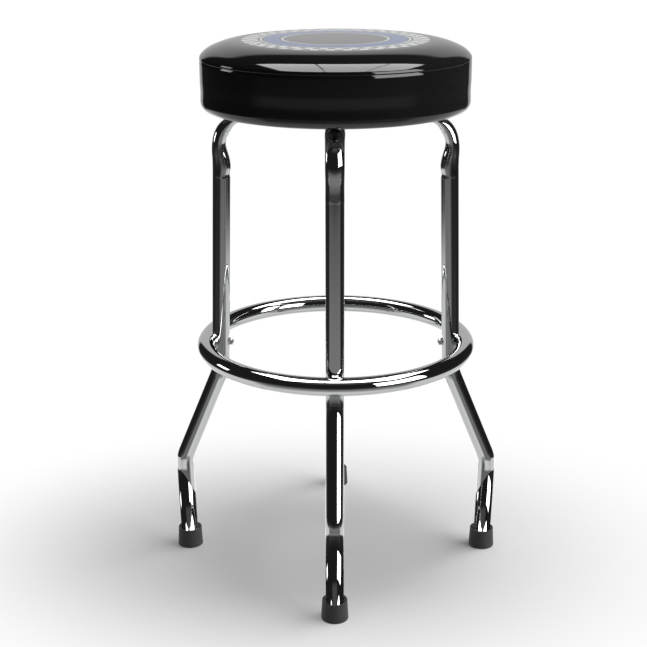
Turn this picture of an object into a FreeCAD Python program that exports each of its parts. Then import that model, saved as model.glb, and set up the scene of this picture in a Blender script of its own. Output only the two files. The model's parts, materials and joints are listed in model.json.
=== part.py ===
import FreeCAD, Part
import math
import os
from FreeCAD import Vector

os.makedirs("parts", exist_ok=True)

# The stool stands on the floor at z = 0, its swivel axis is the z axis,
# and its front leg is at -Y. All lengths are millimetres, all angles degrees.

# Overall
stool_height = 762.0
seat_thickness = 94.0
seat_radius = 185.8
foot_circle_radius = 222.0
overrun = 5.0

# Fits
fit_clearance = 0.05
running_clearance = 0.08

# Leg tube
leg_tube_diameter = 25.0
leg_tube_wall = 1.5
leg_lean_angle = 1.62
knee_height = 143.6
knee_bend_radius = 40.0
ring_bend_height = 283.7
ring_bend_distance = 168.3
ring_bend_radius = 60.0
neck_length = 36.3
neck_overlap = 10.0
shoulder_outer_radius = 43.9
shoulder_angles = (0.0, 30.0, 60.0, 90.0)
shoulder_thickness_shares = (0.785, 0.79, 0.65, 0.52)
shoulder_width_shares = (1.02, 1.02, 1.04, 1.08)
neck_middle_share = 0.5
neck_middle_thickness_share = 0.965
shoulder_run_out = 16.0
leg_inner_end_radius = 32.0

# Leg bolts, two through the flattened end of each leg
inner_bolt_margin = 14.0
outer_bolt_margin = 9.0
bolt_diameter = 6.0
bolt_head_diameter = 11.0
bolt_head_height = 4.0
bolt_head_rim = 1.4
bolt_hole_clearance = 0.3
washer_diameter = 12.0
washer_thickness = 1.2
press_nut_diameter = 10.0
press_nut_height = 3.5

# Foot ring
ring_nest_depth = 4.7
ring_height = 326.6
ring_tube_diameter = 25.4
ring_tube_wall = 1.5
stud_diameter = 6.0
stud_point = 0.8
stud_end_length = 1.5
stud_head_diameter = 9.0
stud_head_height = 2.5
nut_across_flats = 10.0
nut_height = 5.0
nut_scallop_radius = 30.0
nut_scallop_depth = 2.2

# Rubber feet
foot_bottom_radius = 18.8
foot_top_radius = 17.3
foot_height = 28.6
foot_edge_radius = 1.6
foot_floor_thickness = 6.0
foot_mouth_flare = 3.05
foot_mouth_depth = 5.0
foot_disc_thickness = 2.0

# Swivel
swivel_plate_thickness = 2.0
swivel_gap = 5.0
lower_plate_margin = 14.5
upper_plate_overhang = 20.0
ball_seat_depth = 0.2
ball_count = 24
cage_width = 10.0
cage_thickness = 1.6
cage_pocket_clearance = 0.15
rivet_shank_radius = 8.0
rivet_bore_radius = 5.0
rivet_head_radius = 13.0
rivet_head_thickness = 2.0
pivot_washer_radius = 14.0
pivot_washer_thickness = 1.0
plate_screw_margin = 8.0
plate_screw_diameter = 4.5
plate_screw_head_diameter = 9.0
plate_screw_head_height = 2.6
plate_screw_length = 9.0
plate_screw_point = 3.0
plate_screw_first_angle = 45.0

# Seat
vinyl_thickness = 1.2
board_thickness = 11.1
board_top_chamfer = 1.3
board_edge_land = 1.7
board_vent_radius = 20.0
seam_drop = 24.2
seam_allowance = 8.0
top_roll_radius = 2.6
band_roll_radius = 2.4
crown_flat_radius = 132.0
crown_flat_drop = 1.5
band_waist_inset = 1.3
band_waist_rise = 0.4
band_lip_inset = 0.1
band_tuck_width = 39.8
staple_count = 30
staple_margin = 10.0
staple_width = 10.0
staple_wire = 0.7
staple_leg_length = 8.0

ORIGIN = Vector(0, 0, 0)
UP = Vector(0, 0, 1)
OUTWARD = Vector(1, 0, 0)
SIDEWAYS = Vector(0, 1, 0)
FULL_TURN = 360.0
LEG_ANGLES = {"front": -90.0, "right": 0.0, "back": 90.0, "left": 180.0}

# Sizes worked out from the ones above
leg_tube_radius = leg_tube_diameter / 2
ring_tube_radius = ring_tube_diameter / 2
ball_diameter = swivel_gap + 2 * ball_seat_depth
foot_mouth_radius = leg_tube_radius + fit_clearance + foot_mouth_flare

# Heights worked out from the top down
seam_height = stool_height - seam_drop
seat_bottom = stool_height - seat_thickness
board_bottom = seat_bottom + vinyl_thickness
board_top = board_bottom + board_thickness
band_edge_radius = vinyl_thickness + board_thickness - board_edge_land
upper_plate_bottom = board_bottom - swivel_plate_thickness
lower_plate_top = upper_plate_bottom - swivel_gap
leg_top = lower_plate_top - swivel_plate_thickness
ball_height = lower_plate_top + swivel_gap / 2
neck_height = leg_top - shoulder_outer_radius - neck_length


def slope(angle):
    return math.tan(math.radians(angle))


def leg_radius_at(height):
    """Distance of the leg's upper run from the swivel axis."""
    return ring_bend_distance - (height - ring_bend_height) * slope(leg_lean_angle)


# Radii worked out from the legs inwards
shoulder_centre_radius = leg_radius_at(neck_height) + leg_tube_radius - shoulder_outer_radius
lower_plate_radius = shoulder_centre_radius - shoulder_run_out - lower_plate_margin
upper_plate_radius = lower_plate_radius + upper_plate_overhang
inner_bolt_radius = leg_inner_end_radius + inner_bolt_margin
outer_bolt_radius = lower_plate_radius - outer_bolt_margin
ball_circle_radius = (inner_bolt_radius + outer_bolt_radius) / 2
plate_screw_circle_radius = upper_plate_radius - plate_screw_margin
ring_circle_radius = leg_radius_at(ring_height) + leg_tube_radius + ring_tube_radius - ring_nest_depth
band_tuck_radius = seat_radius - band_tuck_width
staple_circle_radius = band_tuck_radius + staple_margin


def at(radius, height):
    """A point in the half plane through the swivel axis and +X."""
    return Vector(radius, 0, height)


def line(start, end):
    return Part.LineSegment(start, end).toShape()


def arc_about(centre, radius, start_angle, end_angle):
    """An arc in the XZ plane, its angles measured from +X towards +Z."""
    points = []
    for angle in (start_angle, (start_angle + end_angle) / 2, end_angle):
        turn = math.radians(angle)
        points.append(centre + at(radius * math.cos(turn), radius * math.sin(turn)))
    return Part.Arc(*points).toShape()


def revolved(edges, centre=ORIGIN):
    return Part.Face(Part.Wire(edges)).revolve(centre, UP, FULL_TURN)


def polygon_revolved(corners, centre=ORIGIN):
    edges = [line(a, b) for a, b in zip(corners, corners[1:] + corners[:1])]
    return revolved(edges, centre)


def flat_ring(inner_radius, outer_radius, bottom, height):
    disc = Part.makeCylinder(outer_radius, height, at(0, bottom))
    if inner_radius == 0:
        return disc
    return disc.cut(Part.makeCylinder(inner_radius, height, at(0, bottom)))


def turned(shape, angle):
    copy = shape.copy()
    copy.rotate(ORIGIN, UP, angle)
    return copy


def copies_around(shape, count, first_angle=0.0):
    return [turned(shape, first_angle + FULL_TURN * step / count) for step in range(count)]


def moved(shape, offset):
    copy = shape.copy()
    copy.translate(offset)
    return copy


def save(name, shapes):
    shape = shapes[0] if len(shapes) == 1 else Part.makeCompound(shapes)
    volume = sum(solid.Volume for solid in shape.Solids)
    print(f"{name}: {len(shape.Solids)} solids, {volume:.0f} mm3, valid {shape.isValid()}")
    shape.exportStep(f"parts/{name}.step")


# Leg line

def leg_corners(start_height):
    """The leg's line from its lower end to the neck, in the plane of +X."""
    foot = at(foot_circle_radius + start_height * slope(leg_lean_angle), start_height)
    knee = at(foot_circle_radius + knee_height * slope(leg_lean_angle), knee_height)
    hip = at(ring_bend_distance, ring_bend_height)
    top_height = neck_height - neck_overlap
    return [foot, knee, hip, at(leg_radius_at(top_height), top_height)]


def rounded_path(corners, radii):
    """Straight runs joined by tangent arcs at the inner corners."""
    edges = []
    start = corners[0]
    for before, corner, after, radius in zip(corners, corners[1:], corners[2:], radii):
        arriving = (corner - before).normalize()
        leaving = (after - corner).normalize()
        half_turn = arriving.getAngle(leaving) / 2
        tangent_length = radius * math.tan(half_turn)
        entry = corner - arriving * tangent_length
        leave = corner + leaving * tangent_length
        inward = (leaving - arriving).normalize()
        middle = corner + inward * (radius / math.cos(half_turn) - radius)
        edges.append(line(start, entry))
        edges.append(Part.Arc(entry, middle, leave).toShape())
        start = leave
    edges.append(line(start, corners[-1]))
    return Part.Wire(edges)


def oval(centre, thickness_direction, half_width, half_thickness):
    """An oval section, its long axis across the leg; round where the halves are equal."""
    if half_width == half_thickness:
        curve = Part.Circle(centre, SIDEWAYS.cross(thickness_direction), half_width)
        curve.XAxis = SIDEWAYS
    else:
        across = centre + SIDEWAYS * half_width
        curve = Part.Ellipse(across, centre + thickness_direction * half_thickness, centre)
    return Part.Wire([curve.toShape()])


def round_run(inset, start_height):
    """The round part of the leg, from its lower end to the neck."""
    corners = leg_corners(start_height)
    direction = (corners[1] - corners[0]).normalize()
    section = Part.Circle(corners[0], direction, leg_tube_radius - inset).toShape()
    path = rounded_path(corners, (knee_bend_radius, ring_bend_radius))
    return path.makePipeShell([Part.Wire([section])], True, False)


def shoulder_sections(inset):
    """The sections that take the round tube over the bend to its flat end."""
    neck_radius = leg_radius_at(neck_height)
    outer = neck_radius + leg_tube_radius
    bend_centre = at(shoulder_centre_radius, leg_top - shoulder_outer_radius)
    lean = Vector(math.cos(math.radians(leg_lean_angle)), 0, math.sin(math.radians(leg_lean_angle)))
    round_half = leg_tube_radius - inset
    sections = [
        oval(leg_corners(0)[-1], lean, round_half, round_half),
        oval(at(neck_radius, neck_height), lean, round_half, round_half),
    ]
    middle_height = neck_height + (bend_centre.z - neck_height) * neck_middle_share
    middle_half = leg_tube_radius * neck_middle_thickness_share
    sections.append(oval(at(outer - middle_half, middle_height), OUTWARD, round_half, middle_half - inset))
    shares = zip(shoulder_angles, shoulder_thickness_shares, shoulder_width_shares)
    for angle, thickness_share, width_share in shares:
        turn = math.radians(angle)
        direction = at(math.cos(turn), math.sin(turn))
        half = leg_tube_radius * thickness_share
        centre = bend_centre + direction * (shoulder_outer_radius - half)
        sections.append(oval(centre, direction, leg_tube_radius * width_share - inset, half - inset))
    half = leg_tube_radius * shoulder_thickness_shares[-1]
    width = leg_tube_radius * shoulder_width_shares[-1]
    run_out = at(bend_centre.x - shoulder_run_out, leg_top - half)
    sections.append(oval(run_out, UP, width - inset, half - inset))
    return sections


def leg_form(inset, start_height, end_extra):
    """The leg's filled form, drawn in by the inset all round."""
    sections = shoulder_sections(inset)
    shoulder = Part.makeLoft(sections, True, False)
    run_length = sections[-1].BoundBox.Center.x - leg_inner_end_radius + end_extra
    flat_run = Part.Face(sections[-1]).extrude(OUTWARD * -run_length)
    return round_run(inset, start_height).fuse([shoulder, flat_run]).removeSplitter()


def ring_torus(tube_radius):
    return Part.makeTorus(ring_circle_radius, tube_radius, at(0, ring_height))


def nut_scallop(extra):
    """The shallow hollow on the leg's inner side, where the nut sits."""
    crest = leg_radius_at(ring_height) - leg_tube_radius
    radius = nut_scallop_radius + extra
    centre = Vector(crest + nut_scallop_depth - nut_scallop_radius, -leg_tube_diameter, ring_height)
    return Part.makeCylinder(radius, 2 * leg_tube_diameter, centre, SIDEWAYS)


def shin_axis():
    return at(slope(leg_lean_angle), 1).normalize()


def foot_socket_start():
    """The point on the shin's line where the steel disc lies on the rubber."""
    return at(foot_circle_radius + foot_floor_thickness * slope(leg_lean_angle), foot_floor_thickness)


def leg_end_height():
    return (foot_socket_start() + shin_axis() * foot_disc_thickness).z


def leg():
    outer = leg_form(0, leg_end_height(), 0).cut([ring_torus(ring_tube_radius + fit_clearance), nut_scallop(0)])
    inner = leg_form(leg_tube_wall, leg_end_height() - overrun, overrun)
    inner = inner.cut([ring_torus(ring_tube_radius + fit_clearance + leg_tube_wall), nut_scallop(leg_tube_wall)])
    hole_radius = bolt_diameter / 2 + bolt_hole_clearance
    hole_depth = leg_tube_diameter + overrun
    holes = [Part.makeCylinder(hole_radius, hole_depth, at(radius, leg_top - leg_tube_diameter))
             for radius in (inner_bolt_radius, outer_bolt_radius)]
    stud_hole_radius = stud_diameter / 2 + bolt_hole_clearance
    stud_start = at(leg_radius_at(ring_height) - leg_tube_diameter, ring_height)
    holes.append(Part.makeCylinder(stud_hole_radius, 2 * leg_tube_diameter, stud_start, OUTWARD))
    return outer.cut([inner] + holes)


# Leg bolts, washers and press nuts

def leg_underside():
    return leg_top - leg_tube_diameter * shoulder_thickness_shares[-1]


def dome_arc(rim_radius, crown_height, rim_height):
    """A shallow dome's line, from its crown on the axis up to its rim."""
    rise = rim_height - crown_height
    dome_radius = (rim_radius ** 2 + rise ** 2) / (2 * rise)
    half_angle = math.asin(rim_radius / dome_radius) / 2
    centre = at(0, crown_height + dome_radius)
    middle = centre + at(math.sin(half_angle), -math.cos(half_angle)) * dome_radius
    return Part.Arc(at(0, crown_height), middle, at(rim_radius, rim_height)).toShape()


def leg_bolt(radius):
    """A domed bolt that passes up through the flattened leg and the lower plate."""
    shank = bolt_diameter / 2
    head = bolt_head_diameter / 2
    seat = leg_underside() - washer_thickness
    crown = seat - bolt_head_height
    end = lower_plate_top + press_nut_height
    outline = [at(head, seat - bolt_head_rim), at(head, seat), at(shank, seat), at(shank, end),
               at(0, end), at(0, crown)]
    edges = [dome_arc(head, crown, seat - bolt_head_rim)]
    edges += [line(a, b) for a, b in zip(outline, outline[1:])]
    return moved(revolved(edges), OUTWARD * radius)


def washer(radius):
    bore = bolt_diameter / 2 + bolt_hole_clearance
    ring = flat_ring(bore, washer_diameter / 2, leg_underside() - washer_thickness, washer_thickness)
    return moved(ring, OUTWARD * radius)


def hexagon(across_flats, base, height):
    corner_radius = across_flats / 2 / math.cos(math.pi / 6)
    corners = [base + Vector(corner_radius * math.cos(step * math.pi / 3),
                             corner_radius * math.sin(step * math.pi / 3), 0) for step in range(7)]
    return Part.Face(Part.makePolygon(corners)).extrude(UP * height)


def hexagon_nut(base, height, bore_radius):
    """A hexagon nut with its corners turned down at both faces."""
    block = hexagon(nut_across_flats, base, height)
    corner_radius = nut_across_flats / 2 / math.cos(math.pi / 6)
    turn_down = corner_radius - nut_across_flats / 2
    corners = [
        at(0, 0), at(corner_radius - turn_down, 0), at(corner_radius, turn_down),
        at(corner_radius, height - turn_down), at(corner_radius - turn_down, height), at(0, height),
    ]
    turned_form = moved(polygon_revolved(corners), base)
    bore = Part.makeCylinder(bore_radius, height, base)
    return block.common(turned_form).cut(bore)


def leg_press_nut(radius):
    """A round nut pressed into the lower plate from above, under the seat."""
    bore = bolt_diameter / 2 + fit_clearance
    nut = flat_ring(bore, press_nut_diameter / 2, lower_plate_top, press_nut_height)
    return moved(nut, OUTWARD * radius)


def at_leg_bolts(make):
    """One copy of a bolted piece at each of the eight leg bolts."""
    pieces = []
    for angle in LEG_ANGLES.values():
        for radius in (inner_bolt_radius, outer_bolt_radius):
            pieces.append(turned(make(radius), angle))
    return pieces


# Foot ring and its studs

def foot_ring():
    tube = ring_torus(ring_tube_radius).cut(ring_torus(ring_tube_radius - ring_tube_wall))
    hole_start = at(ring_circle_radius - 2 * ring_tube_radius, ring_height)
    hole = Part.makeCylinder(stud_diameter / 2 + fit_clearance, 2 * ring_tube_radius, hole_start, OUTWARD)
    return tube.cut([turned(hole, angle) for angle in LEG_ANGLES.values()])


def washer_seat_radius():
    """Where the nut's washer bears on the shoulders of the leg's scallop."""
    crest = leg_radius_at(ring_height) - leg_tube_radius
    half = washer_diameter / 2
    sag = nut_scallop_radius - math.sqrt(nut_scallop_radius ** 2 - half ** 2)
    return crest + nut_scallop_depth - sag - fit_clearance


def nut_inner_face():
    return washer_seat_radius() - washer_thickness - nut_height


def ring_stud():
    """A stud whose head bears on the inside of the ring's inner wall."""
    wall_inside = ring_circle_radius - ring_tube_radius + ring_tube_wall
    tip = nut_inner_face() - stud_end_length
    shank_radius = stud_diameter / 2
    shank_length = wall_inside + stud_head_height - tip
    shank = Part.makeCylinder(shank_radius, shank_length, at(tip, ring_height), OUTWARD)
    point = Part.makeCone(shank_radius - stud_point, shank_radius, stud_point, at(tip, ring_height), OUTWARD)
    sleeve = Part.makeCylinder(shank_radius, stud_point, at(tip, ring_height), OUTWARD)
    head_start = at(wall_inside - ring_tube_wall, ring_height)
    head = Part.makeCylinder(stud_head_diameter / 2, stud_head_height + ring_tube_wall, head_start, OUTWARD)
    head = head.common(ring_torus(ring_tube_radius - ring_tube_wall - fit_clearance))
    return shank.cut(sleeve).fuse([point, head]).removeSplitter()


def ring_washer():
    start = at(washer_seat_radius() - washer_thickness, ring_height)
    disc = Part.makeCylinder(washer_diameter / 2, washer_thickness, start, OUTWARD)
    bore = Part.makeCylinder(stud_diameter / 2 + bolt_hole_clearance, washer_thickness, start, OUTWARD)
    return disc.cut(bore)


def ring_nut():
    nut = hexagon_nut(ORIGIN, nut_height, stud_diameter / 2 + fit_clearance)
    nut.rotate(ORIGIN, SIDEWAYS, 90)
    return moved(nut, at(nut_inner_face(), ring_height))


# Rubber feet

def foot():
    """A tapered rubber ferrule, its socket in line with the shin."""
    centre = at(foot_circle_radius, 0)
    edge = foot_edge_radius
    corners = [at(0, 0), at(foot_bottom_radius - edge, 0), at(foot_bottom_radius, edge),
               at(foot_top_radius, foot_height), at(0, foot_height)]
    edges = [line(a, b) for a, b in zip(corners, corners[1:] + corners[:1])]
    edges[1] = arc_about(at(foot_bottom_radius - edge, edge), edge, -90, 0)
    body = moved(revolved(edges), centre)
    axis = shin_axis()
    start = foot_socket_start()
    bore_radius = leg_tube_radius + fit_clearance
    socket = Part.makeCylinder(bore_radius, foot_height, start, axis)
    mouth_length = foot_mouth_depth + overrun
    flare = (foot_mouth_radius - bore_radius) / foot_mouth_depth
    mouth_top = foot_mouth_radius + flare * overrun
    mouth_start = start + axis * (foot_height - foot_floor_thickness - foot_mouth_depth)
    mouth = Part.makeCone(bore_radius, mouth_top, mouth_length, mouth_start, axis)
    return body.cut([socket, mouth])


def foot_disc():
    """The steel disc that keeps the tube from cutting through the rubber."""
    return Part.makeCylinder(leg_tube_radius, foot_disc_thickness, foot_socket_start(), shin_axis())


# Swivel

def ball_race():
    return Part.makeTorus(ball_circle_radius, ball_diameter / 2 + fit_clearance, at(0, ball_height))


def swivel_lower_plate():
    plate = flat_ring(rivet_shank_radius + fit_clearance, lower_plate_radius, leg_top, swivel_plate_thickness)
    hole_radius = bolt_diameter / 2 + bolt_hole_clearance
    hole = Part.makeCylinder(hole_radius, swivel_plate_thickness, at(0, leg_top))
    holes = at_leg_bolts(lambda radius: moved(hole, OUTWARD * radius))
    return plate.cut([ball_race()] + holes)


def plate_screw():
    """A pan-head wood screw, driven up through the upper plate into the board."""
    shank = plate_screw_diameter / 2
    head = plate_screw_head_diameter / 2
    head_bottom = upper_plate_bottom - plate_screw_head_height
    tip = board_bottom + plate_screw_length
    edges = [
        line(at(0, head_bottom), at(head / 2, head_bottom)),
        line(at(head / 2, head_bottom), at(head, upper_plate_bottom - plate_screw_head_height / 2)),
        line(at(head, upper_plate_bottom - plate_screw_head_height / 2), at(head, upper_plate_bottom)),
        line(at(head, upper_plate_bottom), at(shank, upper_plate_bottom)),
        line(at(shank, upper_plate_bottom), at(shank, tip - plate_screw_point)),
        line(at(shank, tip - plate_screw_point), at(0, tip)),
        line(at(0, tip), at(0, head_bottom)),
    ]
    return moved(revolved(edges), OUTWARD * plate_screw_circle_radius)


def plate_screws():
    return copies_around(plate_screw(), len(LEG_ANGLES), plate_screw_first_angle)


def plate_screw_holes(bottom, height):
    radius = plate_screw_diameter / 2 + fit_clearance
    hole = Part.makeCylinder(radius, height, at(plate_screw_circle_radius, bottom))
    return copies_around(hole, len(LEG_ANGLES), plate_screw_first_angle)


def swivel_upper_plate():
    bore = rivet_shank_radius + running_clearance
    plate = flat_ring(bore, upper_plate_radius, upper_plate_bottom, swivel_plate_thickness)
    return plate.cut([ball_race()] + plate_screw_holes(upper_plate_bottom, swivel_plate_thickness))


def swivel_cage():
    bottom = ball_height - cage_thickness / 2
    half = cage_width / 2
    ring = flat_ring(ball_circle_radius - half, ball_circle_radius + half, bottom, cage_thickness)
    pocket_radius = ball_diameter / 2 + cage_pocket_clearance
    pocket = Part.makeCylinder(pocket_radius, cage_thickness, at(ball_circle_radius, bottom))
    return ring.cut(copies_around(pocket, ball_count))


def swivel_balls():
    ball = Part.makeSphere(ball_diameter / 2, at(ball_circle_radius, ball_height))
    return copies_around(ball, ball_count)


def pivot_washer_bottom():
    return board_bottom + running_clearance


def swivel_rivet():
    """The hollow rivet that holds the two plates together and lets them turn."""
    upper_head = pivot_washer_bottom() + pivot_washer_thickness + running_clearance
    top = upper_head + rivet_head_thickness
    bottom = leg_top - rivet_head_thickness
    corners = [
        at(rivet_bore_radius, bottom), at(rivet_head_radius, bottom), at(rivet_head_radius, leg_top),
        at(rivet_shank_radius, leg_top), at(rivet_shank_radius, upper_head),
        at(rivet_head_radius, upper_head), at(rivet_head_radius, top), at(rivet_bore_radius, top),
    ]
    return polygon_revolved(corners)


def pivot_washer():
    bore = rivet_shank_radius + fit_clearance
    return flat_ring(bore, pivot_washer_radius, pivot_washer_bottom(), pivot_washer_thickness)


# Seat

def crown_edges(inset):
    """The crown's line from the axis to the seam, drawn in by the inset."""
    flat_radius = (crown_flat_radius ** 2 + crown_flat_drop ** 2) / (2 * crown_flat_drop)
    flat_angle = math.degrees(math.asin(crown_flat_radius / flat_radius))
    flat_centre = at(0, stool_height - flat_radius)
    roll_centre = at(seat_radius - top_roll_radius, seam_height + top_roll_radius)
    flat_end = flat_centre + at(flat_radius * math.sin(math.radians(flat_angle)),
                                flat_radius * math.cos(math.radians(flat_angle)))
    inward = (flat_centre - flat_end).normalize()
    to_roll = flat_end - roll_centre
    shoulder_radius = (to_roll.dot(to_roll) - top_roll_radius ** 2) / (
        -2 * to_roll.dot(inward) - 2 * top_roll_radius)
    shoulder_centre = flat_end + inward * shoulder_radius
    reach = roll_centre - shoulder_centre
    roll_angle = math.degrees(math.atan2(reach.z, reach.x))
    return [
        arc_about(flat_centre, flat_radius - inset, 90, 90 - flat_angle),
        arc_about(shoulder_centre, shoulder_radius - inset, 90 - flat_angle, roll_angle),
        arc_about(roll_centre, top_roll_radius - inset, roll_angle, -90),
    ]


def band_edges(inset):
    """The side band's line: down the drawn-in side, out over the board's edge and under it."""
    roll_centre = at(seat_radius - band_roll_radius, seam_height - band_roll_radius)
    lip_radius = seat_radius - band_lip_inset
    edge_centre = at(lip_radius - band_edge_radius, seat_bottom + band_edge_radius)
    upper = arc_about(roll_centre, band_roll_radius - inset, 90, 0)
    lower = arc_about(edge_centre, band_edge_radius - inset, 0, -90)
    side = [
        upper.Vertexes[-1].Point,
        at(seat_radius - band_waist_inset - inset, board_top + band_waist_rise),
        at(lip_radius - inset, board_top - board_top_chamfer),
        lower.Vertexes[0].Point,
    ]
    return [upper] + [line(a, b) for a, b in zip(side, side[1:])] + [lower]


def joined(outer, inner):
    """Two open lines closed into one outline by a straight edge at each end."""
    return outer + [line(outer[-1].Vertexes[-1].Point, inner[-1].Vertexes[-1].Point)] + inner[::-1] + [
        line(inner[0].Vertexes[0].Point, outer[0].Vertexes[0].Point)]


def flange_to(edges, radius, along_last):
    """A line carried on to a given radius, from its last or its first end."""
    if along_last:
        end = edges[-1].Vertexes[-1].Point
        return edges + [line(end, at(radius, end.z))]
    start = edges[0].Vertexes[0].Point
    return [line(at(radius, start.z), start)] + edges


def seam_inner_radius():
    return seat_radius - top_roll_radius - seam_allowance


def seat_top_panel():
    outer = flange_to(crown_edges(0), seam_inner_radius(), True)
    inner = flange_to(crown_edges(vinyl_thickness), seam_inner_radius(), True)
    return revolved(joined(outer, inner))


def seat_side_band():
    outer = flange_to(band_edges(0), seam_inner_radius(), False)
    outer = flange_to(outer, band_tuck_radius, True)
    inner = flange_to(band_edges(vinyl_thickness), seam_inner_radius(), False)
    inner = flange_to(inner, band_tuck_radius, True)
    return revolved(joined(outer, inner)).cut(staple_slots())


def board_radius():
    return seat_radius - band_lip_inset - vinyl_thickness - fit_clearance


def seat_board():
    """The plywood disc, its lower edge rounded and its middle bored to vent the foam."""
    radius = board_radius()
    edge = band_edge_radius - vinyl_thickness
    edge_centre = at(radius - edge, board_bottom + edge)
    outline = [
        at(radius, edge_centre.z), at(radius, board_top - board_top_chamfer),
        at(radius - board_top_chamfer, board_top), at(board_vent_radius, board_top),
        at(board_vent_radius, board_bottom), at(edge_centre.x, board_bottom),
    ]
    edges = [arc_about(edge_centre, edge, -90, 0)]
    edges += [line(a, b) for a, b in zip(outline, outline[1:])]
    return revolved(edges).cut(plate_screw_holes(board_bottom, plate_screw_length) + staple_slots())


def seat_foam():
    """The foam, which fills the cover down to the board."""
    crown = crown_edges(vinyl_thickness)
    band = band_edges(vinyl_thickness)[:2]
    seam_top = crown[-1].Vertexes[-1].Point
    seam_bottom = band[0].Vertexes[0].Point
    waist = band[-1].Vertexes[-1].Point
    edges = crown + [line(seam_top, seam_bottom)] + band
    outline = [waist, at(board_radius() - board_top_chamfer, board_top), at(0, board_top),
               at(0, crown[0].Vertexes[0].Point.z)]
    edges += [line(a, b) for a, b in zip(outline, outline[1:])]
    seam_fold = flat_ring(seam_inner_radius(), seat_radius, seam_bottom.z, seam_top.z - seam_bottom.z)
    return revolved(edges).cut(seam_fold)


def staple_form(clearance):
    """A wire staple: a crown under the tucked vinyl and two legs up into the board."""
    wire = staple_wire
    half_wire = wire / 2 + clearance
    half_width = staple_width / 2
    leg_bottom = seat_bottom - clearance
    leg_height = staple_leg_length + 2 * clearance
    legs = []
    for side in (-1, 1):
        centre_y = side * (half_width - wire / 2)
        corner = Vector(staple_circle_radius - half_wire, centre_y - half_wire, leg_bottom)
        legs.append(Part.makeBox(2 * half_wire, 2 * half_wire, leg_height, corner))
    return legs


def staple():
    crown_corner = Vector(staple_circle_radius - staple_wire / 2, -staple_width / 2, seat_bottom - staple_wire)
    crown = Part.makeBox(staple_wire, staple_width, staple_wire, crown_corner)
    return crown.fuse(staple_form(0)).removeSplitter()


def staple_slots():
    slots = []
    for slot in staple_form(fit_clearance):
        slots += copies_around(slot, staple_count, FULL_TURN / staple_count / 2)
    return slots


def main():
    one_leg = leg()
    one_foot = foot()
    for name, angle in LEG_ANGLES.items():
        save(f"leg_{name}", [turned(one_leg, angle)])
        save(f"foot_{name}", [turned(one_foot, angle)])
    save("foot_discs", copies_around(foot_disc(), len(LEG_ANGLES)))
    save("leg_bolts", at_leg_bolts(leg_bolt))
    save("leg_washers", at_leg_bolts(washer))
    save("leg_press_nuts", at_leg_bolts(leg_press_nut))
    save("foot_ring", [foot_ring()])
    save("ring_studs", copies_around(ring_stud(), len(LEG_ANGLES)))
    save("ring_washers", copies_around(ring_washer(), len(LEG_ANGLES)))
    save("ring_nuts", copies_around(ring_nut(), len(LEG_ANGLES)))
    save("swivel_lower_plate", [swivel_lower_plate()])
    save("swivel_upper_plate", [swivel_upper_plate()])
    save("swivel_ball_cage", [swivel_cage()])
    save("swivel_balls", swivel_balls())
    save("swivel_rivet", [swivel_rivet()])
    save("swivel_pivot_washer", [pivot_washer()])
    save("seat_board", [seat_board()])
    save("seat_foam", [seat_foam()])
    save("seat_side_band", [seat_side_band()])
    save("seat_top_panel", [seat_top_panel()])
    save("seat_plate_screws", plate_screws())
    save("seat_staples", copies_around(staple(), staple_count, FULL_TURN / staple_count / 2))


main()
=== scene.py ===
import bpy
import json
import math
from mathutils import Matrix, Vector


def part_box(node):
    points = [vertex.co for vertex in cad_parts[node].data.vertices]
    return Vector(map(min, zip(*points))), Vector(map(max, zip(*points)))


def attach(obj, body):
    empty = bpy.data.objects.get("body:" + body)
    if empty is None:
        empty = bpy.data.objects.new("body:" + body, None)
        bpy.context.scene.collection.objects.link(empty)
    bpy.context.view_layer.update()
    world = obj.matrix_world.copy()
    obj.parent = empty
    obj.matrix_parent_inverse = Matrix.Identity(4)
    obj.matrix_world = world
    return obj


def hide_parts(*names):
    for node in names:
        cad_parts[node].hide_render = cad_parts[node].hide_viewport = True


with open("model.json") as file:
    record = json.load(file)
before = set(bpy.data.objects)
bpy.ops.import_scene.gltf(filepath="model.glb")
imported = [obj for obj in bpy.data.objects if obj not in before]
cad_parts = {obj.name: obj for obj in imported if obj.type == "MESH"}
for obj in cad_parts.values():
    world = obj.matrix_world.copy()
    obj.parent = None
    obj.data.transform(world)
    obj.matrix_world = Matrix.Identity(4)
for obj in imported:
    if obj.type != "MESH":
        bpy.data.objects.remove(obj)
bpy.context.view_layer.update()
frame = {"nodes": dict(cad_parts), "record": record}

MM = 0.001

# The seat's sizes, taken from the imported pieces
band_low, band_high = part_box("seat_side_band")
board_low, board_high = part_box("seat_board")
SEAT_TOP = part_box("seat_top_panel")[1].z
SEAT_RADIUS = band_high.x
SEAT_BOTTOM = band_low.z
BOARD_TOP = board_high.z
BOARD_BOTTOM = board_low.z

# The vinyl cover: its thickness, and its seam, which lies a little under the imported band's top
VINYL = 1.2 * MM
SEAM_DROP = 1.2 * MM
SEAM_HEIGHT = band_high.z - SEAM_DROP
SEAM_TURN = 0.6 * MM
SEAM_DEPTH = 10.6 * MM

# The side: its roll at the seam, how far under the seam it starts to draw in and is narrowest, and its tuck
BAND_ROLL = 13.0 * MM
BAND_ROLL_ANGLE = 23
BAND_DRAW_START = 26.0 * MM
BAND_WAIST = 44.0 * MM
BAND_WAIST_INSET = 0.55 * MM
BAND_LIP_INSET = 0.2 * MM
BAND_TUCK_RADIUS = 146.0 * MM

# The clearance between the filling and the cover over it
FILLING_GAP = 0.3 * MM

# The top cover's arcs from the seam upwards: each one's radius, and how many degrees the surface has turned
# from upright where it ends; the last one runs on to the nearly flat middle
COVER_ARCS = ((8.0 * MM, 25), (4.0 * MM, 38.3), (33.0 * MM, 64.5), (105.0 * MM, None))

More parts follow.
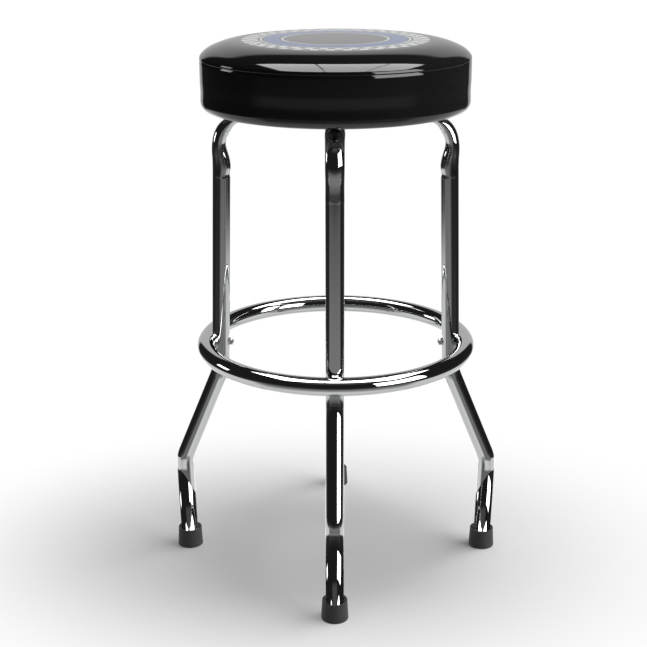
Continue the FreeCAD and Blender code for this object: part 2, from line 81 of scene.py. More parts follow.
# How finely the outlines are drawn and turned
TURN_STEPS = 160
SEAM_TURN_STEPS = 6
CROWN_STEPS = 14
ROLL_STEPS = 12
BAND_STEPS = 14
EDGE_STEPS = 16
LEAST_APART = 0.01 * MM
MERGE_WITHIN = 0.02 * MM
SMOOTH_ANGLE = math.radians(50)

# The plane that is merged into an outline's first point
START_PLANE = 1.2 * MM

# The camera, which stands where the photograph's did; angles in radians
CAMERA_DISTANCE = 1902.1 * MM
CAMERA_HEIGHT = 974.6 * MM
CAMERA_YAW = -0.0092
CAMERA_PITCH = 0.3154
CAMERA_ROLL = -0.0031
STOOL_TURN = -0.0054
LENS_PIXELS = 1378.13
FRAME_PIXELS = 647
SENSOR_WIDTH = 36.0


# Mesh helpers

def deselect_everything():
    for other in bpy.context.selected_objects:
        other.select_set(False)


def outline_piece(name, outline):
    """An outline in the XZ plane, drawn by extruding its first point along."""
    deselect_everything()
    bpy.ops.mesh.primitive_plane_add(size=START_PLANE)
    piece = bpy.context.object
    piece.name = name
    piece.data.name = name
    bpy.ops.object.mode_set(mode="EDIT")
    bpy.ops.mesh.select_all(action="SELECT")
    bpy.ops.mesh.merge(type="CENTER")
    bpy.ops.transform.translate(value=(outline[0][0], 0, outline[0][1]))
    for before, after in zip(outline, outline[1:]):
        step = (after[0] - before[0], 0, after[1] - before[1])
        bpy.ops.mesh.extrude_region_move(TRANSFORM_OT_translate={"value": step})
    bpy.ops.mesh.select_all(action="SELECT")
    return piece


def turn_outline(piece):
    """Spins the outline round the swivel axis and closes the seam where it meets itself."""
    bpy.ops.mesh.spin(steps=TURN_STEPS, angle=math.tau, center=(0, 0, 0), axis=(0, 0, 1), use_auto_merge=True)
    bpy.ops.mesh.select_all(action="SELECT")
    bpy.ops.mesh.remove_doubles(threshold=MERGE_WITHIN)
    bpy.ops.mesh.normals_make_consistent(inside=False)
    bpy.ops.object.mode_set(mode="OBJECT")
    bpy.ops.object.shade_smooth_by_angle(angle=SMOOTH_ANGLE)
    return piece


def arc_points(centre, radius, start, end, steps):
    points = []
    for step in range(steps + 1):
        angle = math.radians(start + (end - start) * step / steps)
        points.append((centre[0] + radius * math.cos(angle), centre[1] + radius * math.sin(angle)))
    return points


# The seat cover's outlines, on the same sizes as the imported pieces

def outwards(angle):
    return Vector((math.cos(math.radians(angle)), math.sin(math.radians(angle))))


def crown_line(inset):
    """From the axis to the seam: a nearly flat middle, wide arcs, and a tight shoulder over the seam."""
    radius_before = COVER_ARCS[0][0]
    centre = Vector((SEAT_RADIUS - radius_before, SEAM_HEIGHT + SEAM_TURN))
    line = []
    start = 0
    if inset < SEAM_TURN:
        turn_centre = (SEAT_RADIUS - SEAM_TURN, SEAM_HEIGHT + SEAM_TURN)
        line = arc_points(turn_centre, SEAM_TURN - inset, -90, 0, SEAM_TURN_STEPS)[:-1]
    else:
        start = math.degrees(math.asin((inset - SEAM_TURN) / (radius_before - inset)))
    for radius, end in COVER_ARCS:
        centre = centre + outwards(start) * (radius_before - radius)
        if end is None:
            middle_turn = 2 * math.atan((SEAT_TOP - centre.y - radius) / centre.x)
            end = 90 - math.degrees(middle_turn)
        line += arc_points(centre, radius - inset, start, end, CROWN_STEPS)
        start = end
        radius_before = radius
    middle_radius = radius + centre.x / math.sin(middle_turn)
    middle_centre = (0, SEAT_TOP - middle_radius)
    line += arc_points(middle_centre, middle_radius - inset, end, 90, CROWN_STEPS)[1:]
    apart = [line[0]]
    for point in line[1:]:
        if math.dist(point, apart[-1]) > LEAST_APART:
            apart.append(point)
    return apart[::-1]


def eased(share):
    return share * share * (3 - 2 * share)


def band_line(inset):
    """Down the side: a soft roll at the seam, a slight waist, and the round of the board's edge."""
    roll_drop = BAND_ROLL * math.sin(math.radians(BAND_ROLL_ANGLE))
    roll_centre = (SEAT_RADIUS - BAND_ROLL, SEAM_HEIGHT - roll_drop)
    line = arc_points(roll_centre, BAND_ROLL - inset, BAND_ROLL_ANGLE, 0, ROLL_STEPS)
    stretches = ((SEAM_HEIGHT - BAND_DRAW_START, SEAM_HEIGHT - BAND_WAIST, 0, BAND_WAIST_INSET),
                 (SEAM_HEIGHT - BAND_WAIST, BOARD_TOP, BAND_WAIST_INSET, BAND_LIP_INSET))
    for high, low, pulled, pulled_below in stretches:
        for step in range(BAND_STEPS + 1):
            share = step / BAND_STEPS
            pull = pulled + (pulled_below - pulled) * eased(share)
            line.append((SEAT_RADIUS - inset - pull, high + (low - high) * share))
    edge_radius = BOARD_TOP - SEAT_BOTTOM
    edge_centre = (SEAT_RADIUS - BAND_LIP_INSET - edge_radius, BOARD_TOP)
    return line + arc_points(edge_centre, edge_radius - inset, 0, -90, EDGE_STEPS)[1:]


def seat_top_cover():
    allowance_radius = SEAT_RADIUS - SEAM_DEPTH
    outer = crown_line(0) + [(allowance_radius, SEAM_HEIGHT)]
    inner = crown_line(VINYL) + [(allowance_radius, SEAM_HEIGHT + VINYL)]
    piece = outline_piece("seat_top_cover", outer + inner[::-1])
    return turn_outline(piece)


def seat_side_cover():
    allowance_radius = SEAT_RADIUS - SEAM_DEPTH
    outer = [(allowance_radius, SEAM_HEIGHT)] + band_line(0) + [(BAND_TUCK_RADIUS, SEAT_BOTTOM)]
    inner = [(allowance_radius, SEAM_HEIGHT - VINYL)] + band_line(VINYL) + [(BAND_TUCK_RADIUS, BOARD_BOTTOM)]
    outline = outer + inner[::-1]
    piece = outline_piece("seat_side_cover", outline + outline[:1])
    return turn_outline(piece)


def seat_filling():
    """The foam under the cover, crowned like it and narrow at the seam's fold."""
    gap = FILLING_GAP
    crown = [(x - gap if x > gap else x, z - gap) for x, z in crown_line(VINYL)]
    fold = SEAT_RADIUS - SEAM_DEPTH - gap
    waist = SEAT_RADIUS - BAND_WAIST_INSET - VINYL - gap
    side = [
        (fold, SEAM_HEIGHT + VINYL - gap),
        (fold, SEAM_HEIGHT - VINYL - gap),
        (waist, SEAM_HEIGHT - BAND_ROLL),
        (waist, BOARD_TOP + gap),
        (0, BOARD_TOP + gap),
    ]
    piece = outline_piece("seat_filling", crown + side)
    return turn_outline(piece)


# Node helpers

# Where a Mix node keeps its two numbers and two colours among its inputs, and what it makes among its outputs
MIX_NUMBERS = (2, 3)
MIX_COLOURS = (6, 7)
MIXED_NUMBER = 0
MIXED_COLOUR = 2


class Nodes:
    """Adds and links the nodes of one material or group."""

    def __init__(self, tree):
        self.tree = tree

    def add(self, kind, **settings):
        node = self.tree.nodes.new(kind)
        for name, value in settings.items():
            setattr(node, name, value)
        return node

    def link(self, source, target):
        self.tree.links.new(source, target)

    def math(self, operation, *values, clamp=False):
        node = self.add("ShaderNodeMath", operation=operation, use_clamp=clamp)
        for socket, value in zip(node.inputs, values):
            if isinstance(value, (int, float)):
                socket.default_value = value
            else:
                self.link(value, socket)
        return node.outputs[0]

    def vector(self, operation, *values):
        """Gives back both outputs: Value for a length or a dot product, and otherwise Vector."""
        node = self.add("ShaderNodeVectorMath", operation=operation)
        for socket, value in zip(node.inputs, values):
            if isinstance(value, tuple):
                socket.default_value = value
            else:
                self.link(value, socket)
        return node.outputs

    def axes(self, source):
        node = self.add("ShaderNodeSeparateXYZ")
        self.link(source, node.inputs[0])
        return node.outputs

    def place(self):
        return self.add("ShaderNodeTexCoord").outputs["Object"]


def share_by(nodes, value, low, high):
    """A share that goes smoothly from 0 to 1 as the value goes from low to high."""
    share = nodes.add("ShaderNodeMapRange", interpolation_type="SMOOTHSTEP")
    share.inputs["From Min"].default_value = low
    share.inputs["From Max"].default_value = high
    nodes.link(value, share.inputs["Value"])
    return share.outputs["Result"]


def level_through(nodes, value, low, high, pairs):
    """A level that follows a value between low and high through the given pairs."""
    most = max(level for place, level in pairs)
    spread = nodes.add("ShaderNodeMapRange")
    spread.inputs["From Min"].default_value = low
    spread.inputs["From Max"].default_value = high
    nodes.link(value, spread.inputs["Value"])
    ramp = nodes.add("ShaderNodeValToRGB")
    stops = ramp.color_ramp.elements
    while len(stops) < len(pairs):
        stops.new(0.5)
    for stop, (place, level) in zip(stops, pairs):
        share = level / most
        stop.position = (place - low) / (high - low)
        stop.color = (share, share, share, 1)
    nodes.link(spread.outputs["Result"], ramp.inputs["Fac"])
    return nodes.math("MULTIPLY", ramp.outputs["Color"], most)


def mixed(nodes, share, first, second):
    """The first number at a share of 0, going over to the second at 1."""
    mix = nodes.add("ShaderNodeMix", data_type="FLOAT")
    nodes.link(share, mix.inputs["Factor"])
    for number, value in zip(MIX_NUMBERS, (first, second)):
        nodes.link(value, mix.inputs[number])
    return mix.outputs[MIXED_NUMBER]


def laid_over(nodes, under, over, mask):
    """One colour over another by a mask; either is a plain colour or comes from a node."""
    mix = nodes.add("ShaderNodeMix", data_type="RGBA")
    nodes.link(mask, mix.inputs["Factor"])
    for number, colour in zip(MIX_COLOURS, (under, over)):
        if isinstance(colour, tuple):
            mix.inputs[number].default_value = colour
        else:
            nodes.link(colour, mix.inputs[number])
    return mix.outputs[MIXED_COLOUR]


def new_material(name):
    material = bpy.data.materials.new(name)
    material.use_nodes = True
    nodes = Nodes(material.node_tree)
    shader = material.node_tree.nodes["Principled BSDF"]
    return material, nodes, shader


# The grain that every finish has

FINE_DETAIL = 3
BROAD_DETAIL = 2


def surface_grain_group():
    """Fine unevenness: out come a height for a bump and a share for roughness."""
    group = bpy.data.node_groups.new("surface_grain", "ShaderNodeTree")
    for name in ("Fine Scale", "Broad Scale", "Broad Share"):
        group.interface.new_socket(name=name, in_out="INPUT", socket_type="NodeSocketFloat")
    for name in ("Height", "Cloud"):
        group.interface.new_socket(name=name, in_out="OUTPUT", socket_type="NodeSocketFloat")
    nodes = Nodes(group)
    came, goes = nodes.add("NodeGroupInput"), nodes.add("NodeGroupOutput")
    place = nodes.place()
    noises = []
    for scale, detail in (("Fine Scale", FINE_DETAIL), ("Broad Scale", BROAD_DETAIL)):
        noise = nodes.add("ShaderNodeTexNoise")
        noise.inputs["Detail"].default_value = detail
        nodes.link(place, noise.inputs["Vector"])
        nodes.link(came.outputs[scale], noise.inputs["Scale"])
        noises.append(noise.outputs["Fac"])
    fine, broad = noises
    nodes.link(mixed(nodes, came.outputs["Broad Share"], fine, broad), goes.inputs["Height"])
    nodes.link(broad, goes.inputs["Cloud"])
    return group


GRAIN = surface_grain_group()


def grained(nodes, shader, fine, broad, broad_share, bump, distance, rough):
    """Places the grain in a material, on its bump and on its roughness, and gives back its cloud."""
    grain = nodes.add("ShaderNodeGroup", node_tree=GRAIN)
    grain.inputs["Fine Scale"].default_value = fine
    grain.inputs["Broad Scale"].default_value = broad
    grain.inputs["Broad Share"].default_value = broad_share
    bumped = nodes.add("ShaderNodeBump")
    bumped.inputs["Strength"].default_value = bump
    bumped.inputs["Distance"].default_value = distance
    nodes.link(grain.outputs["Height"], bumped.inputs["Height"])
    nodes.link(bumped.outputs["Normal"], shader.inputs["Normal"])
    roughness = nodes.add("ShaderNodeMapRange")
    roughness.inputs["To Min"].default_value = rough[0]
    roughness.inputs["To Max"].default_value = rough[1]
    nodes.link(grain.outputs["Cloud"], roughness.inputs["Value"])
    nodes.link(roughness.outputs["Result"], shader.inputs["Roughness"])
    return grain.outputs["Cloud"]


# The chrome's polish leans its shine up or down. Each list holds pairs of height in millimetres and lean, and
# its ramp is spread from the floor up to the height named after it.

SHIN_LEANS = ((30, 1.07), (38, 1.01), (60, 0.76), (70, 0.63), (84, 0.48), (105, 0.325), (116, 0.27),
              (125, 0.23), (133, 0.19), (145, 0.19))
SHIN_LEANS_TOP = 150
RING_BEND_LEANS = ((280, 0), (290, 0.05), (296, 0.11), (302, 0.06), (310, 0))
RING_BEND_TOP = 400

# A shin's lean starts under the knee, lower down on the side legs, and lower down where the tube faces the
# middle, so that it begins in a point
SHIN_START = 139.0
SHIN_LAG = 13.0
SHIN_LAG_POWER = 1.8
SHIN_EASE = 8.0
SIDE_SHIN_LOWER = 5.0

# The upright runs lean a little where a side leg's tube faces outwards, and the other legs' faces sideways
UPRIGHT_LEANS = ((335, 0), (345, 0.11), (640, 0.065), (655, 0))
UPRIGHT_TOP = 800

# The side legs lean down at the knee, except where it faces the middle, and along the sloping run only where
# that faces the middle
KNEE_DROPS = ((125, 0), (130, 0.30), (142, 0.30), (147, 0))
KNEE_TOP = 200
SLOPE_DROPS = ((146, 0), (152, 0.22), (270, 0.22), (280, 0))
SLOPE_TOP = 400

# How far from the middle plane the side legs begin, and the facings between which a lean comes in
SIDE_LEGS = (60.0 * MM, 110.0 * MM)
OUTER_FACING = (-0.05, 0.2)
SIDEWAYS_FACING = (0.5, 0.75)
KNEE_FACING = (-0.4, -0.15)
INNER_FACING = (0, 0.2)


def shin_lean(nodes, height, facing_away, on_side_leg):
    turned = nodes.math("MAXIMUM", nodes.math("SUBTRACT", 1, facing_away), 0)
    lag = nodes.math("MULTIPLY", nodes.math("POWER", turned, SHIN_LAG_POWER), SHIN_LAG)
    lower = nodes.math("MULTIPLY", on_side_leg, SIDE_SHIN_LOWER)
    start = nodes.math("SUBTRACT", nodes.math("SUBTRACT", SHIN_START, lag), lower)
    begun = share_by(nodes, nodes.math("SUBTRACT", start, height), 0, SHIN_EASE)
    return nodes.math("MULTIPLY", level_through(nodes, height, 0, SHIN_LEANS_TOP, SHIN_LEANS), begun)


def upright_lean(nodes, height, outward, sideways, on_side_leg):
    outer = share_by(nodes, outward, *OUTER_FACING)
    to_a_side = share_by(nodes, nodes.math("ABSOLUTE", sideways), *SIDEWAYS_FACING)
    away = mixed(nodes, on_side_leg, to_a_side, outer)
    return nodes.math("MULTIPLY", away, level_through(nodes, height, 0, UPRIGHT_TOP, UPRIGHT_LEANS))


def side_leg_drop(nodes, height, outward, on_side_leg):
    at_knee = level_through(nodes, height, 0, KNEE_TOP, KNEE_DROPS)
    knee = nodes.math("MULTIPLY", at_knee, share_by(nodes, outward, *KNEE_FACING))
    inward = nodes.math("MULTIPLY", outward, -1)
    on_slope = level_through(nodes, height, 0, SLOPE_TOP, SLOPE_DROPS)
    slope = nodes.math("MULTIPLY", on_slope, share_by(nodes, inward, *INNER_FACING))
    return nodes.math("MULTIPLY", nodes.math("ADD", knee, slope), on_side_leg)


def leant_normal(nodes):
    """The tube's normal, leant up or down by place and by the way it faces."""
    place = nodes.place()
    axes = nodes.axes(place)
    normal = nodes.add("ShaderNodeNewGeometry").outputs["Normal"]
    sideways = nodes.axes(normal)["X"]
    height = nodes.math("DIVIDE", axes["Z"], MM)
    level_place = nodes.vector("MULTIPLY", place, (1, 1, 0))["Vector"]
    away_from_middle = nodes.vector("NORMALIZE", level_place)["Vector"]
    facing_away = nodes.vector("DOT_PRODUCT", normal, away_from_middle)["Value"]
    outward = nodes.math("MULTIPLY", sideways, nodes.math("SIGN", axes["X"]))
    on_side_leg = share_by(nodes, nodes.math("ABSOLUTE", axes["X"]), *SIDE_LEGS)
    shin = shin_lean(nodes, height, facing_away, on_side_leg)
    bend = level_through(nodes, height, 0, RING_BEND_TOP, RING_BEND_LEANS)
    upright = upright_lean(nodes, height, outward, sideways, on_side_leg)
    risen = nodes.math("ADD", nodes.math("ADD", shin, bend), upright)
    lean = nodes.add("ShaderNodeCombineXYZ")
    drop = side_leg_drop(nodes, height, outward, on_side_leg)
    nodes.link(nodes.math("SUBTRACT", risen, drop), lean.inputs["Z"])
    both = nodes.vector("ADD", normal, lean.outputs["Vector"])["Vector"]
    return nodes.vector("NORMALIZE", both)["Vector"]


# The finishes

CHROME = (0.555, 0.56, 0.565, 1)
RUBBER_DARK = (0.026, 0.026, 0.027, 1)
RUBBER_LIGHT = (0.040, 0.040, 0.041, 1)
ZINC_DARK = (0.52, 0.52, 0.50, 1)
ZINC_LIGHT = (0.70, 0.70, 0.69, 1)
PLATE_PAINT = (0.018, 0.018, 0.019, 1)
BALL_STEEL = (0.66, 0.66, 0.67, 1)
# The board's colour: nearly black, with faint lighter streaks
BOARD_DARK = (0.006, 0.006, 0.006, 1)
BOARD_LIGHT = (0.020, 0.018, 0.016, 1)
FOAM_DARK = (0.74, 0.66, 0.40, 1)
FOAM_LIGHT = (0.86, 0.80, 0.56, 1)

# The board's streaks are long one way and close together across it
STREAK_STRETCH = (6, 90, 90)
STREAK_SCALE = 1.6
STREAK_DETAIL = 5


def chrome():
    material, nodes, shader = new_material("chrome_plate")
    shader.inputs["Base Color"].default_value = CHROME
    shader.inputs["Metallic"].default_value = 1
    grained(nodes, shader, fine=900, broad=12, broad_share=0.35, bump=0.012, distance=0.1 * MM,
            rough=(0.012, 0.035))
    bumped = shader.inputs["Normal"].links[0].from_node
    nodes.link(leant_normal(nodes), bumped.inputs["Normal"])
    return material


def foot_rubber():
    material, nodes, shader = new_material("moulded_rubber")
    cloud = grained(nodes, shader, fine=1400, broad=60, broad_share=0.2, bump=0.35, distance=0.15 * MM,
                    rough=(0.55, 0.72))
    nodes.link(laid_over(nodes, RUBBER_DARK, RUBBER_LIGHT, cloud), shader.inputs["Base Color"])
    return material


def zinc():
    material, nodes, shader = new_material("zinc_plate")
    shader.inputs["Metallic"].default_value = 1
    cloud = grained(nodes, shader, fine=1100, broad=90, broad_share=0.3, bump=0.08, distance=0.1 * MM,
                    rough=(0.18, 0.34))
    nodes.link(laid_over(nodes, ZINC_DARK, ZINC_LIGHT, cloud), shader.inputs["Base Color"])
    return material


def black_paint():
    material, nodes, shader = new_material("black_plate_paint")
    shader.inputs["Base Color"].default_value = PLATE_PAINT
    grained(nodes, shader, fine=700, broad=40, broad_share=0.25, bump=0.25, distance=0.2 * MM,
            rough=(0.30, 0.46))
    return material


def ball_steel():
    material, nodes, shader = new_material("ball_steel")
    shader.inputs["Base Color"].default_value = BALL_STEEL
    shader.inputs["Metallic"].default_value = 1
    grained(nodes, shader, fine=1200, broad=80, broad_share=0.3, bump=0.03, distance=0.1 * MM,
            rough=(0.08, 0.2))
    return material


def near_black_board():
    """The board is coloured nearly black, with faint lighter streaks along it: the chrome shoulders mirror a
    black underside.
    """
    material, nodes, shader = new_material("near_black_seat_board")
    stretch = nodes.add("ShaderNodeMapping")
    stretch.inputs["Scale"].default_value = STREAK_STRETCH
    nodes.link(nodes.place(), stretch.inputs["Vector"])
    streaks = nodes.add("ShaderNodeTexNoise")
    streaks.inputs["Scale"].default_value = STREAK_SCALE
    streaks.inputs["Detail"].default_value = STREAK_DETAIL
    nodes.link(stretch.outputs["Vector"], streaks.inputs["Vector"])
    ramp = nodes.add("ShaderNodeValToRGB")
    ramp.color_ramp.elements[0].color = BOARD_DARK
    ramp.color_ramp.elements[1].color = BOARD_LIGHT
    nodes.link(streaks.outputs["Fac"], ramp.inputs["Fac"])
    nodes.link(ramp.outputs["Color"], shader.inputs["Base Color"])
    grained(nodes, shader, fine=800, broad=30, broad_share=0.2, bump=0.25, distance=0.2 * MM,
            rough=(0.6, 0.75))
    return material


def foam():
    material, nodes, shader = new_material("seat_foam_yellow")
    cloud = grained(nodes, shader, fine=1500, broad=30, broad_share=0.15, bump=0.6, distance=0.4 * MM,
                    rough=(0.85, 0.95))
    nodes.link(laid_over(nodes, FOAM_DARK, FOAM_LIGHT, cloud), shader.inputs["Base Color"])
    return material


# The vinyl, and the printed round on the seat top

VINYL_BLACK = (0.0095, 0.0095, 0.010, 1)
VINYL_IOR = 1.5
CHECK_OUTER = 128.0 * MM
CHECK_INNER = 106.0 * MM
CHECK_COUNT = 36
BLUE_OUTER = 98.0 * MM
BLUE_INNER = 76.0 * MM
WHITE_LINES = ((100.5 * MM, 103.0 * MM), (71.0 * MM, 73.5 * MM))
WHITE = (0.70, 0.71, 0.72, 1)
GREY = (0.20, 0.21, 0.22, 1)
BLUE = (0.030, 0.095, 0.30, 1)


def ring_mask(nodes, radius, inner, outer):
    above = nodes.math("GREATER_THAN", radius, inner)
    below = nodes.math("LESS_THAN", radius, outer)
    return nodes.math("MULTIPLY", above, below)


def printed_round(nodes):
    """The seat top's colour: a ring of two rows of checks, a blue ring and thin white lines, on black."""
    axes = nodes.axes(nodes.place())
    x, y = axes["X"], axes["Y"]
    squares = nodes.math("ADD", nodes.math("MULTIPLY", x, x), nodes.math("MULTIPLY", y, y))
    radius = nodes.math("SQRT", squares)
    turn = nodes.math("MULTIPLY", nodes.math("ARCTAN2", y, x), CHECK_COUNT / math.tau)
    odd = nodes.math("GREATER_THAN", nodes.math("FRACT", nodes.math("ADD", turn, CHECK_COUNT)), 0.5)
    outer_row = nodes.math("GREATER_THAN", radius, (CHECK_INNER + CHECK_OUTER) / 2)
    check = nodes.math("ABSOLUTE", nodes.math("SUBTRACT", odd, outer_row))
    checks = laid_over(nodes, WHITE, GREY, check)
    colour = laid_over(nodes, VINYL_BLACK, checks, ring_mask(nodes, radius, CHECK_INNER, CHECK_OUTER))
    colour = laid_over(nodes, colour, BLUE, ring_mask(nodes, radius, BLUE_INNER, BLUE_OUTER))
    for inner, outer in WHITE_LINES:
        colour = laid_over(nodes, colour, WHITE, ring_mask(nodes, radius, inner, outer))
    return colour


def vinyl(name, printed):
    material, nodes, shader = new_material(name)
    shader.inputs["IOR"].default_value = VINYL_IOR
    grained(nodes, shader, fine=420, broad=26, broad_share=0.3, bump=0.035, distance=0.25 * MM,
            rough=(0.035, 0.075))
    if printed:
        nodes.link(printed_round(nodes), shader.inputs["Base Color"])
    else:
        shader.inputs["Base Color"].default_value = VINYL_BLACK
    return material


# The floor, which the camera sees fade to white away from the stool, in an oval drawn out along X

FLOOR_SIZE = 24.0
FLOOR_COLOUR = (0.76, 0.76, 0.76, 1)
FLOOR_CLEAR = 0.10
FLOOR_WHITE = 0.50
FLOOR_DRAWN = (0.73, 1, 0)


def floor():
    deselect_everything()
    bpy.ops.mesh.primitive_plane_add(size=FLOOR_SIZE)
    piece = bpy.context.object
    piece.name = "floor"
    material, nodes, shader = new_material("pale_floor")
    shader.inputs["Base Color"].default_value = FLOOR_COLOUR
    shader.inputs["Roughness"].default_value = 1
    shader.inputs["Specular IOR Level"].default_value = 0
    drawn = nodes.vector("MULTIPLY", nodes.place(), FLOOR_DRAWN)["Vector"]
    distance = nodes.vector("LENGTH", drawn)["Value"]
    fade = share_by(nodes, distance, FLOOR_CLEAR, FLOOR_WHITE)
    path = nodes.add("ShaderNodeLightPath")
    white = nodes.add("ShaderNodeEmission")
    mix = nodes.add("ShaderNodeMixShader")
    nodes.link(nodes.math("MULTIPLY", fade, path.outputs["Is Camera Ray"]), mix.inputs["Fac"])
    nodes.link(shader.outputs[0], mix.inputs[1])
    nodes.link(white.outputs[0], mix.inputs[2])
    output = material.node_tree.nodes["Material Output"]
    nodes.link(mix.outputs[0], output.inputs["Surface"])
    piece.visible_glossy = False
    piece.data.materials.append(material)


# The surroundings that polished surfaces mirror. Bearing is 0 towards the photograph's camera and grows
# towards +X; height angle is above the horizon. Both are in degrees.

STRAIGHT_DOWN = -90
STRAIGHT_UP = 90
RAY_SOCKETS = ("Bearing", "Height")
PATCH_SOCKETS = ("At Bearing", "At Height", "Half Width", "Half Height", "Softness")

# Each patch has a name, a value for each of its five sockets, and its strength
PATCHES = (
    ("white_wall_right", 180, 2, 28, 31, 4, 0.62),
    ("white_wall_left", -180, 2, 28, 31, 4, 0.62),
    ("tall_light_box", 55, 18, 22, 16, 1.5, 6.0),
    ("small_lamp", -103, 10, 7, 6, 2, 4.0),
    ("lit_ceiling", 0, 57, 35, 14, 8, 0.075),
)

# The lit floor: pairs of height angle and strength, in front, at the sides and behind
FLOOR_IN_FRONT = ((-90, 0.80), (-71, 0.97), (-57, 0.95), (-43, 0.53), (-33, 0.33), (-28, 0.16), (-24, 0.18),
                  (-19, 0.24), (-17, 0.28), (-15, 0.25), (-13, 0.19), (-11, 0.14), (-10, 0.07), (-8, 0.045),
                  (-4, 0.012), (0, 0))
FLOOR_AT_SIDES = ((-90, 0.75), (-45, 0.90), (-25, 0.95), (-20, 1.0), (-17.5, 0.85), (-16, 0.40),
                  (-15, 0.12), (-14, 0.03), (-10, 0.012), (0, 0))
FLOOR_BEHIND = ((-90, 0.75), (-45, 0.90), (-25, 0.95), (-20, 0.60), (-17, 0.25), (-15, 0))

# The bearings, to either side, between which one part of the floor goes over into the next
FRONT_TO_SIDE = (60, 80)
SIDE_TO_BEHIND = (140, 155)

# The overhead panel by its slopes away from straight up, with two thin dark gaps across it
PANEL_ACROSS = (-0.60, 0.78)
PANEL_ALONG = (-0.40, 0.45)
PANEL_GAPS = (-0.11, 0.33)
PANEL_GAP_HALF_WIDTH = 0.006
PANEL_STRENGTH = 7.4
PANEL_SOFTNESS = 0.03
LEAST_RISE = 0.01

DARK_ROOM = 0.018
AMBIENT = 0.06


def patch_group():
    """A soft-edged patch of light in the surroundings."""
    group = bpy.data.node_groups.new("light_patch", "ShaderNodeTree")
    for name in RAY_SOCKETS + PATCH_SOCKETS:
        group.interface.new_socket(name=name, in_out="INPUT", socket_type="NodeSocketFloat")
    group.interface.new_socket(name="Share", in_out="OUTPUT", socket_type="NodeSocketFloat")
    nodes = Nodes(group)
    came, goes = nodes.add("NodeGroupInput"), nodes.add("NodeGroupOutput")
    shares = []
    ways = (("Bearing", "At Bearing", "Half Width"), ("Height", "At Height", "Half Height"))
    for value, middle, half in ways:
        away = nodes.math("ABSOLUTE", nodes.math("SUBTRACT", came.outputs[value], came.outputs[middle]))
        room = nodes.math("SUBTRACT", came.outputs[half], away)
        inside = nodes.math("DIVIDE", room, came.outputs["Softness"])
        shares.append(nodes.math("ADD", inside, 0.5, clamp=True))
    nodes.link(nodes.math("MULTIPLY", *shares), goes.inputs["Share"])
    return group


def light_patches(nodes, bearing, height):
    """What each patch adds to the surroundings."""
    patch = patch_group()
    lit = []
    for name, *values, strength in PATCHES:
        node = nodes.add("ShaderNodeGroup", node_tree=patch, label=name)
        nodes.link(bearing, node.inputs["Bearing"])
        nodes.link(height, node.inputs["Height"])
        for socket, value in zip(PATCH_SOCKETS, values):
            node.inputs[socket].default_value = value
        lit.append(nodes.math("MULTIPLY", node.outputs["Share"], strength))
    return lit


def mirrored_floor(nodes, bearing, height):
    either_way = nodes.math("ABSOLUTE", bearing)
    in_front, at_sides, behind = (level_through(nodes, height, STRAIGHT_DOWN, STRAIGHT_UP, pairs)
                                  for pairs in (FLOOR_IN_FRONT, FLOOR_AT_SIDES, FLOOR_BEHIND))
    near = mixed(nodes, share_by(nodes, either_way, *FRONT_TO_SIDE), in_front, at_sides)
    return mixed(nodes, share_by(nodes, either_way, *SIDE_TO_BEHIND), near, behind)


def soft_between(nodes, value, low, high):
    above = nodes.math("DIVIDE", nodes.math("SUBTRACT", value, low), PANEL_SOFTNESS)
    below = nodes.math("DIVIDE", nodes.math("SUBTRACT", high, value), PANEL_SOFTNESS)
    shares = [nodes.math("ADD", side, 0.5, clamp=True) for side in (above, below)]
    return nodes.math("MULTIPLY", *shares)


def overhead_panel(nodes, axes):
    rise = nodes.math("MAXIMUM", axes["Z"], LEAST_RISE)
    across = nodes.math("DIVIDE", axes["X"], rise)
    along = nodes.math("DIVIDE", axes["Y"], rise)
    panel = nodes.math("MULTIPLY", soft_between(nodes, across, *PANEL_ACROSS),
                       soft_between(nodes, along, *PANEL_ALONG))
    for gap in PANEL_GAPS:
        away = nodes.math("ABSOLUTE", nodes.math("SUBTRACT", across, gap))
        panel = nodes.math("MULTIPLY", panel, nodes.math("GREATER_THAN", away, PANEL_GAP_HALF_WIDTH))
    return nodes.math("MULTIPLY", panel, PANEL_STRENGTH)


def surroundings():
    """White to the camera, a dim even light to dull surfaces, and the studio to polished ones."""
    world = bpy.data.worlds.new("studio")
    bpy.context.scene.world = world
    world.use_nodes = True
    nodes = Nodes(world.node_tree)
    background = world.node_tree.nodes["Background"]
    background.inputs["Color"].default_value = (1, 1, 1, 1)
    axes = nodes.axes(nodes.add("ShaderNodeTexCoord").outputs["Generated"])
    forward = nodes.math("MULTIPLY", axes["Y"], -1)
    bearing = nodes.math("DEGREES", nodes.math("ARCTAN2", axes["X"], forward))
    height = nodes.math("DEGREES", nodes.math("ARCSINE", axes["Z"]))
    total = nodes.math("ADD", mirrored_floor(nodes, bearing, height), overhead_panel(nodes, axes))
    for lit in light_patches(nodes, bearing, height):
        total = nodes.math("ADD", total, lit)
    total = nodes.math("ADD", total, DARK_ROOM)
    path = nodes.add("ShaderNodeLightPath")
    mirrored = nodes.math("MULTIPLY", total, path.outputs["Is Glossy Ray"])
    not_glossy = nodes.math("SUBTRACT", 1, path.outputs["Is Glossy Ray"])
    around = nodes.math("MAXIMUM", nodes.math("MULTIPLY", not_glossy, AMBIENT), mirrored)
    level = nodes.math("MAXIMUM", around, path.outputs["Is Camera Ray"])
    nodes.link(level, background.inputs["Strength"])


# The two lamps; the overhead one's middle and half sizes are slopes, as the panel's are

OVERHEAD_HEIGHT = 2.6
OVERHEAD_WATTS = 37
OVERHEAD_MIDDLE = (0.138, 0.089)
OVERHEAD_HALF = (0.41, 0.27)
LOW_LIGHT_DISTANCE = 3.0
LOW_LIGHT_HEIGHT_ANGLE = math.radians(29.2)
LOW_LIGHT_WIDTH = 4.83
LOW_LIGHT_DEPTH = 0.96
LOW_LIGHT_WATTS = 95


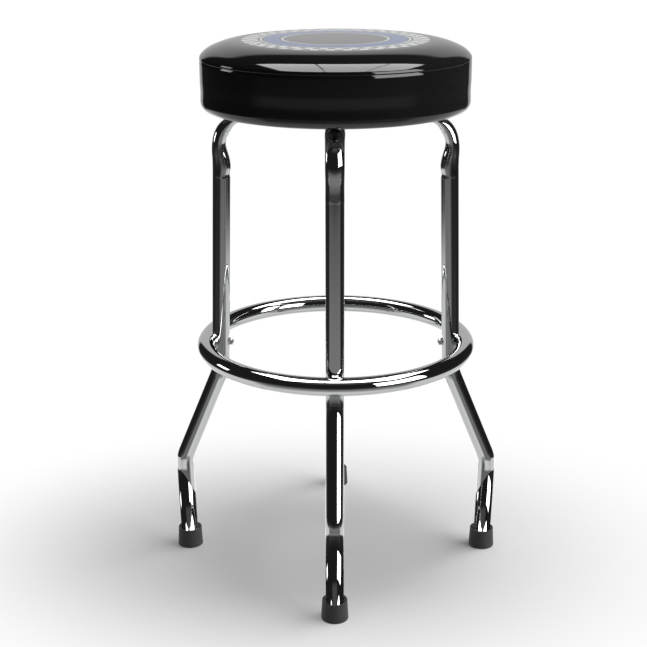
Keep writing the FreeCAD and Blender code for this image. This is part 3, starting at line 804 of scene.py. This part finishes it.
def area_light(name, place, width, depth, watts):
    """A soft light, which faces down until it is turned. Polished metal doesn't mirror it."""
    deselect_everything()
    bpy.ops.object.light_add(type="AREA", location=place)
    lamp = bpy.context.object
    lamp.name = name
    lamp.data.shape = "RECTANGLE"
    lamp.data.size = width
    lamp.data.size_y = depth
    lamp.data.energy = watts
    lamp.visible_glossy = False
    return lamp


def overhead_light():
    """The brightest middle of the overhead panel."""
    place = Vector((*OVERHEAD_MIDDLE, 1)) * OVERHEAD_HEIGHT
    width, depth = (2 * half * OVERHEAD_HEIGHT for half in OVERHEAD_HALF)
    area_light("overhead_light", place, width, depth, OVERHEAD_WATTS)


def low_light():
    """A broad low light on the right, turned to face the floor under the stool's middle."""
    towards = Vector((math.cos(LOW_LIGHT_HEIGHT_ANGLE), 0, math.sin(LOW_LIGHT_HEIGHT_ANGLE)))
    place = towards * LOW_LIGHT_DISTANCE
    lamp = area_light("low_light", place, LOW_LIGHT_WIDTH, LOW_LIGHT_DEPTH, LOW_LIGHT_WATTS)
    lamp.rotation_euler = towards.to_track_quat("Z", "Y").to_euler()


def camera():
    """The camera, its place and axes turned into the stool's own frame."""
    deselect_everything()
    bpy.ops.object.camera_add()
    eye = bpy.context.object
    level = math.cos(CAMERA_PITCH)
    forward = Vector((math.sin(CAMERA_YAW) * level, math.cos(CAMERA_YAW) * level, -math.sin(CAMERA_PITCH)))
    right = forward.cross(Vector((0, 0, 1))).normalized()
    up = right.cross(forward)
    rolled_right = right * math.cos(CAMERA_ROLL) + up * math.sin(CAMERA_ROLL)
    rolled_up = up * math.cos(CAMERA_ROLL) - right * math.sin(CAMERA_ROLL)
    axes = Matrix((rolled_right, rolled_up, -forward)).transposed().to_4x4()
    place = Matrix.Translation(Vector((0, -CAMERA_DISTANCE, CAMERA_HEIGHT))) @ axes
    eye.matrix_world = Matrix.Rotation(-STOOL_TURN, 4, "Z") @ place
    eye.data.sensor_width = SENSOR_WIDTH
    eye.data.lens = LENS_PIXELS / FRAME_PIXELS * SENSOR_WIDTH
    eye.data.dof.use_dof = False
    bpy.context.scene.camera = eye


# Putting it together

def dress_packed_nodes():
    finishes = {"chromed_tube": chrome(), "foot_rubber": foot_rubber(), "zinc_fastener": zinc(),
                "painted_plate": black_paint(), "bearing_steel": ball_steel(), "plywood": near_black_board()}
    slots = {row["node"]: row["material_slot"] for row in frame["record"]["subparts"]}
    for name, node in frame["nodes"].items():
        if slots[name] in finishes:
            for material_slot in node.material_slots:
                material_slot.material = finishes[slots[name]]


def seat_covers():
    for piece, node, slot, material in (
            (seat_top_cover(), "seat_top_panel", "vinyl", vinyl("printed_vinyl", True)),
            (seat_side_cover(), "seat_side_band", "vinyl", vinyl("plain_vinyl", False)),
            (seat_filling(), "seat_foam", "foam", foam())):
        piece.data.materials.clear()
        piece.data.materials.append(material)
        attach(piece, "seat")
        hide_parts(node)


camera()
dress_packed_nodes()
seat_covers()
floor()
surroundings()
overhead_light()
low_light()
bpy.context.scene.view_settings.view_transform = "Standard"
